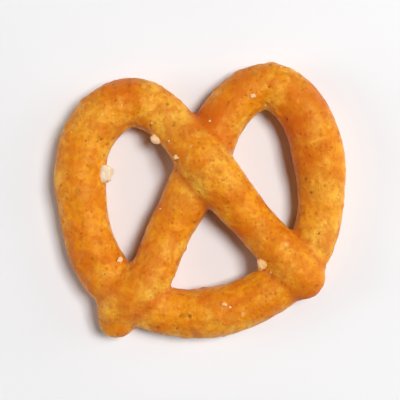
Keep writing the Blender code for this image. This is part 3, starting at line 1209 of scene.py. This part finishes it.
def add_piece(name, mesh, material):
    """A finished piece at the origin, riding with the pretzel."""
    piece = bpy.data.objects.new(name, mesh)
    bpy.context.scene.collection.objects.link(piece)
    mesh.materials.clear()
    mesh.materials.append(material)
    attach(piece, "root")
    return piece


class PRETZEL_OT_bake_crust(bpy.types.Operator):
    """Roll, fuse and bake the dough"""

    bl_idname = "pretzel.bake_crust"
    bl_label = "Bake Crust"

    def execute(self, context):
        scene = context.scene
        mesh = crust_mesh(scene.pretzel_dough)
        fewest, most = FACES
        if not fewest < len(mesh.polygons) < most:
            raise RuntimeError(f"the crust has {len(mesh.polygons)} faces")
        crust = add_piece("crust", mesh, crust_material(scene.pretzel_crust))
        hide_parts(NODE)
        return {"FINISHED"}


class PRETZEL_OT_add_salt(bpy.types.Operator):
    """Set the grains of salt in the crust and scatter a few crumbs over it"""

    bl_idname = "pretzel.add_salt"
    bl_label = "Add Salt"

    def execute(self, context):
        scene = context.scene
        dough = scene.pretzel_dough
        salt = scene.pretzel_salt
        material = salt_material(salt)
        seats = grain_seats(rope_of(dough, FINE_STEP), dough)
        draw = np.random.default_rng(SALT_SEED)
        add_piece("salt_grains", grains_mesh(seats, draw), material)
        crust = bpy.data.objects["crust"].data
        add_piece("salt_crumbs", crumbs_mesh(crust, seats, salt.crumbs, draw), material)
        return {"FINISHED"}


# -------------------- Stage


def plain_floor(stage):
    """Lays a square floor, which isn't part of the pretzel."""
    low, high = -FLOOR_REACH, FLOOR_REACH
    corners = np.array([(low, low, 0), (high, low, 0), (high, high, 0), (low, high, 0)])
    mesh = mesh_of("floor", corners, [np.arange(len(corners))[None]])
    mesh.materials.append(floor_material(stage))
    floor = bpy.data.objects.new("floor", mesh)
    bpy.context.scene.collection.objects.link(floor)


def softbox(name, place, size, power):
    """A square area light that faces the pretzel from a place, all in metres."""
    light = bpy.data.lights.new(name, "AREA")
    light.shape = "SQUARE"
    light.size = size
    light.energy = power
    lamp = bpy.data.objects.new(name, light)
    lamp.location = place
    lamp.rotation_euler = Vector(place).to_track_quat("Z", "Y").to_euler()
    bpy.context.scene.collection.objects.link(lamp)


def white_room(stage):
    """A world that is bright all round and dim overhead, with a soft change between them."""
    world = bpy.data.worlds.new("white_room")
    world.use_nodes = True
    tree = world.node_tree
    room = tree.nodes["Background"].inputs
    where = tree.nodes.new("ShaderNodeTexCoord").outputs["Generated"]
    height = node(tree, "ShaderNodeSeparateXYZ", {"Vector": where}).outputs["Z"]
    ends = {"To Min": stage.walls, "To Max": stage.ceiling}
    tree.links.new(soft_step(tree, height, *ROOM_HEIGHTS, **ends), room["Strength"])
    room["Color"].default_value = (1.0, 1.0, 1.0, 1.0)
    return world


def overhead_camera(stage):
    """A camera that looks straight down, as far up as makes the pretzel fill its share of the width."""
    low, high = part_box(NODE)
    camera = bpy.data.cameras.new("camera")
    camera.lens = stage.lens
    camera.clip_start = 0.01
    camera.clip_end = 10.0
    width = (high.x - low.x) / stage.fill
    distance = width * camera.lens / camera.sensor_width
    eye = bpy.data.objects.new("camera", camera)
    eye.location = ((low.x + high.x) / 2, (low.y + high.y) / 2, high.z * FRAMED_AT + distance)
    bpy.context.scene.collection.objects.link(eye)
    return eye


class PRETZEL_OT_set_stage(bpy.types.Operator):
    """Lay the floor, hang the lights and set the camera straight above"""

    bl_idname = "pretzel.set_stage"
    bl_label = "Set Stage"

    def execute(self, context):
        scene = context.scene
        stage = scene.pretzel_stage
        plain_floor(stage)
        for name, place, size, power in SOFTBOXES:
            softbox(name, place, size, getattr(stage, power))
        scene.world = white_room(stage)
        scene.view_settings.view_transform = "Standard"
        scene.camera = overhead_camera(stage)
        return {"FINISHED"}


# -------------------- Panel and run


class PRETZEL_PT_panel(bpy.types.Panel):
    """The steps that make the pretzel, and their settings"""

    bl_idname = "PRETZEL_PT_panel"
    bl_label = "Mini Pretzel"
    bl_space_type = "VIEW_3D"
    bl_region_type = "UI"
    bl_category = "Pretzel"

    def draw(self, context):
        scene = context.scene
        steps = (
            (PRETZEL_OT_set_stage, scene.pretzel_stage),
            (PRETZEL_OT_bake_crust, scene.pretzel_crust),
            (None, scene.pretzel_dough),
            (PRETZEL_OT_add_salt, scene.pretzel_salt),
        )
        for operator, settings in steps:
            box = self.layout.box()
            if operator:
                box.operator(operator.bl_idname)
            for name in settings.__annotations__:
                box.prop(settings, name)


CLASSES = (
    DoughSettings,
    CrustSettings,
    SaltSettings,
    StageSettings,
    PRETZEL_OT_set_stage,
    PRETZEL_OT_bake_crust,
    PRETZEL_OT_add_salt,
    PRETZEL_PT_panel,
)
SETTINGS = {
    "pretzel_dough": DoughSettings,
    "pretzel_crust": CrustSettings,
    "pretzel_salt": SaltSettings,
    "pretzel_stage": StageSettings,
}


def register():
    for made in CLASSES:
        bpy.utils.register_class(made)
    for name, kind in SETTINGS.items():
        setattr(bpy.types.Scene, name, PointerProperty(type=kind))


def unregister():
    for name in SETTINGS:
        delattr(bpy.types.Scene, name)
    for made in reversed(CLASSES):
        bpy.utils.unregister_class(made)


def clear_scene():
    """Removes the objects that are there at the start, apart from the frame."""
    kept = {*frame["nodes"].values(), *frame["bodies"].values()}
    for thing in list(bpy.data.objects):
        if thing not in kept:
            bpy.data.objects.remove(thing)


def main():
    clear_scene()
    register()
    bpy.ops.pretzel.set_stage()
    bpy.ops.pretzel.bake_crust()
    bpy.ops.pretzel.add_salt()


if __name__ == "__main__":
    main()
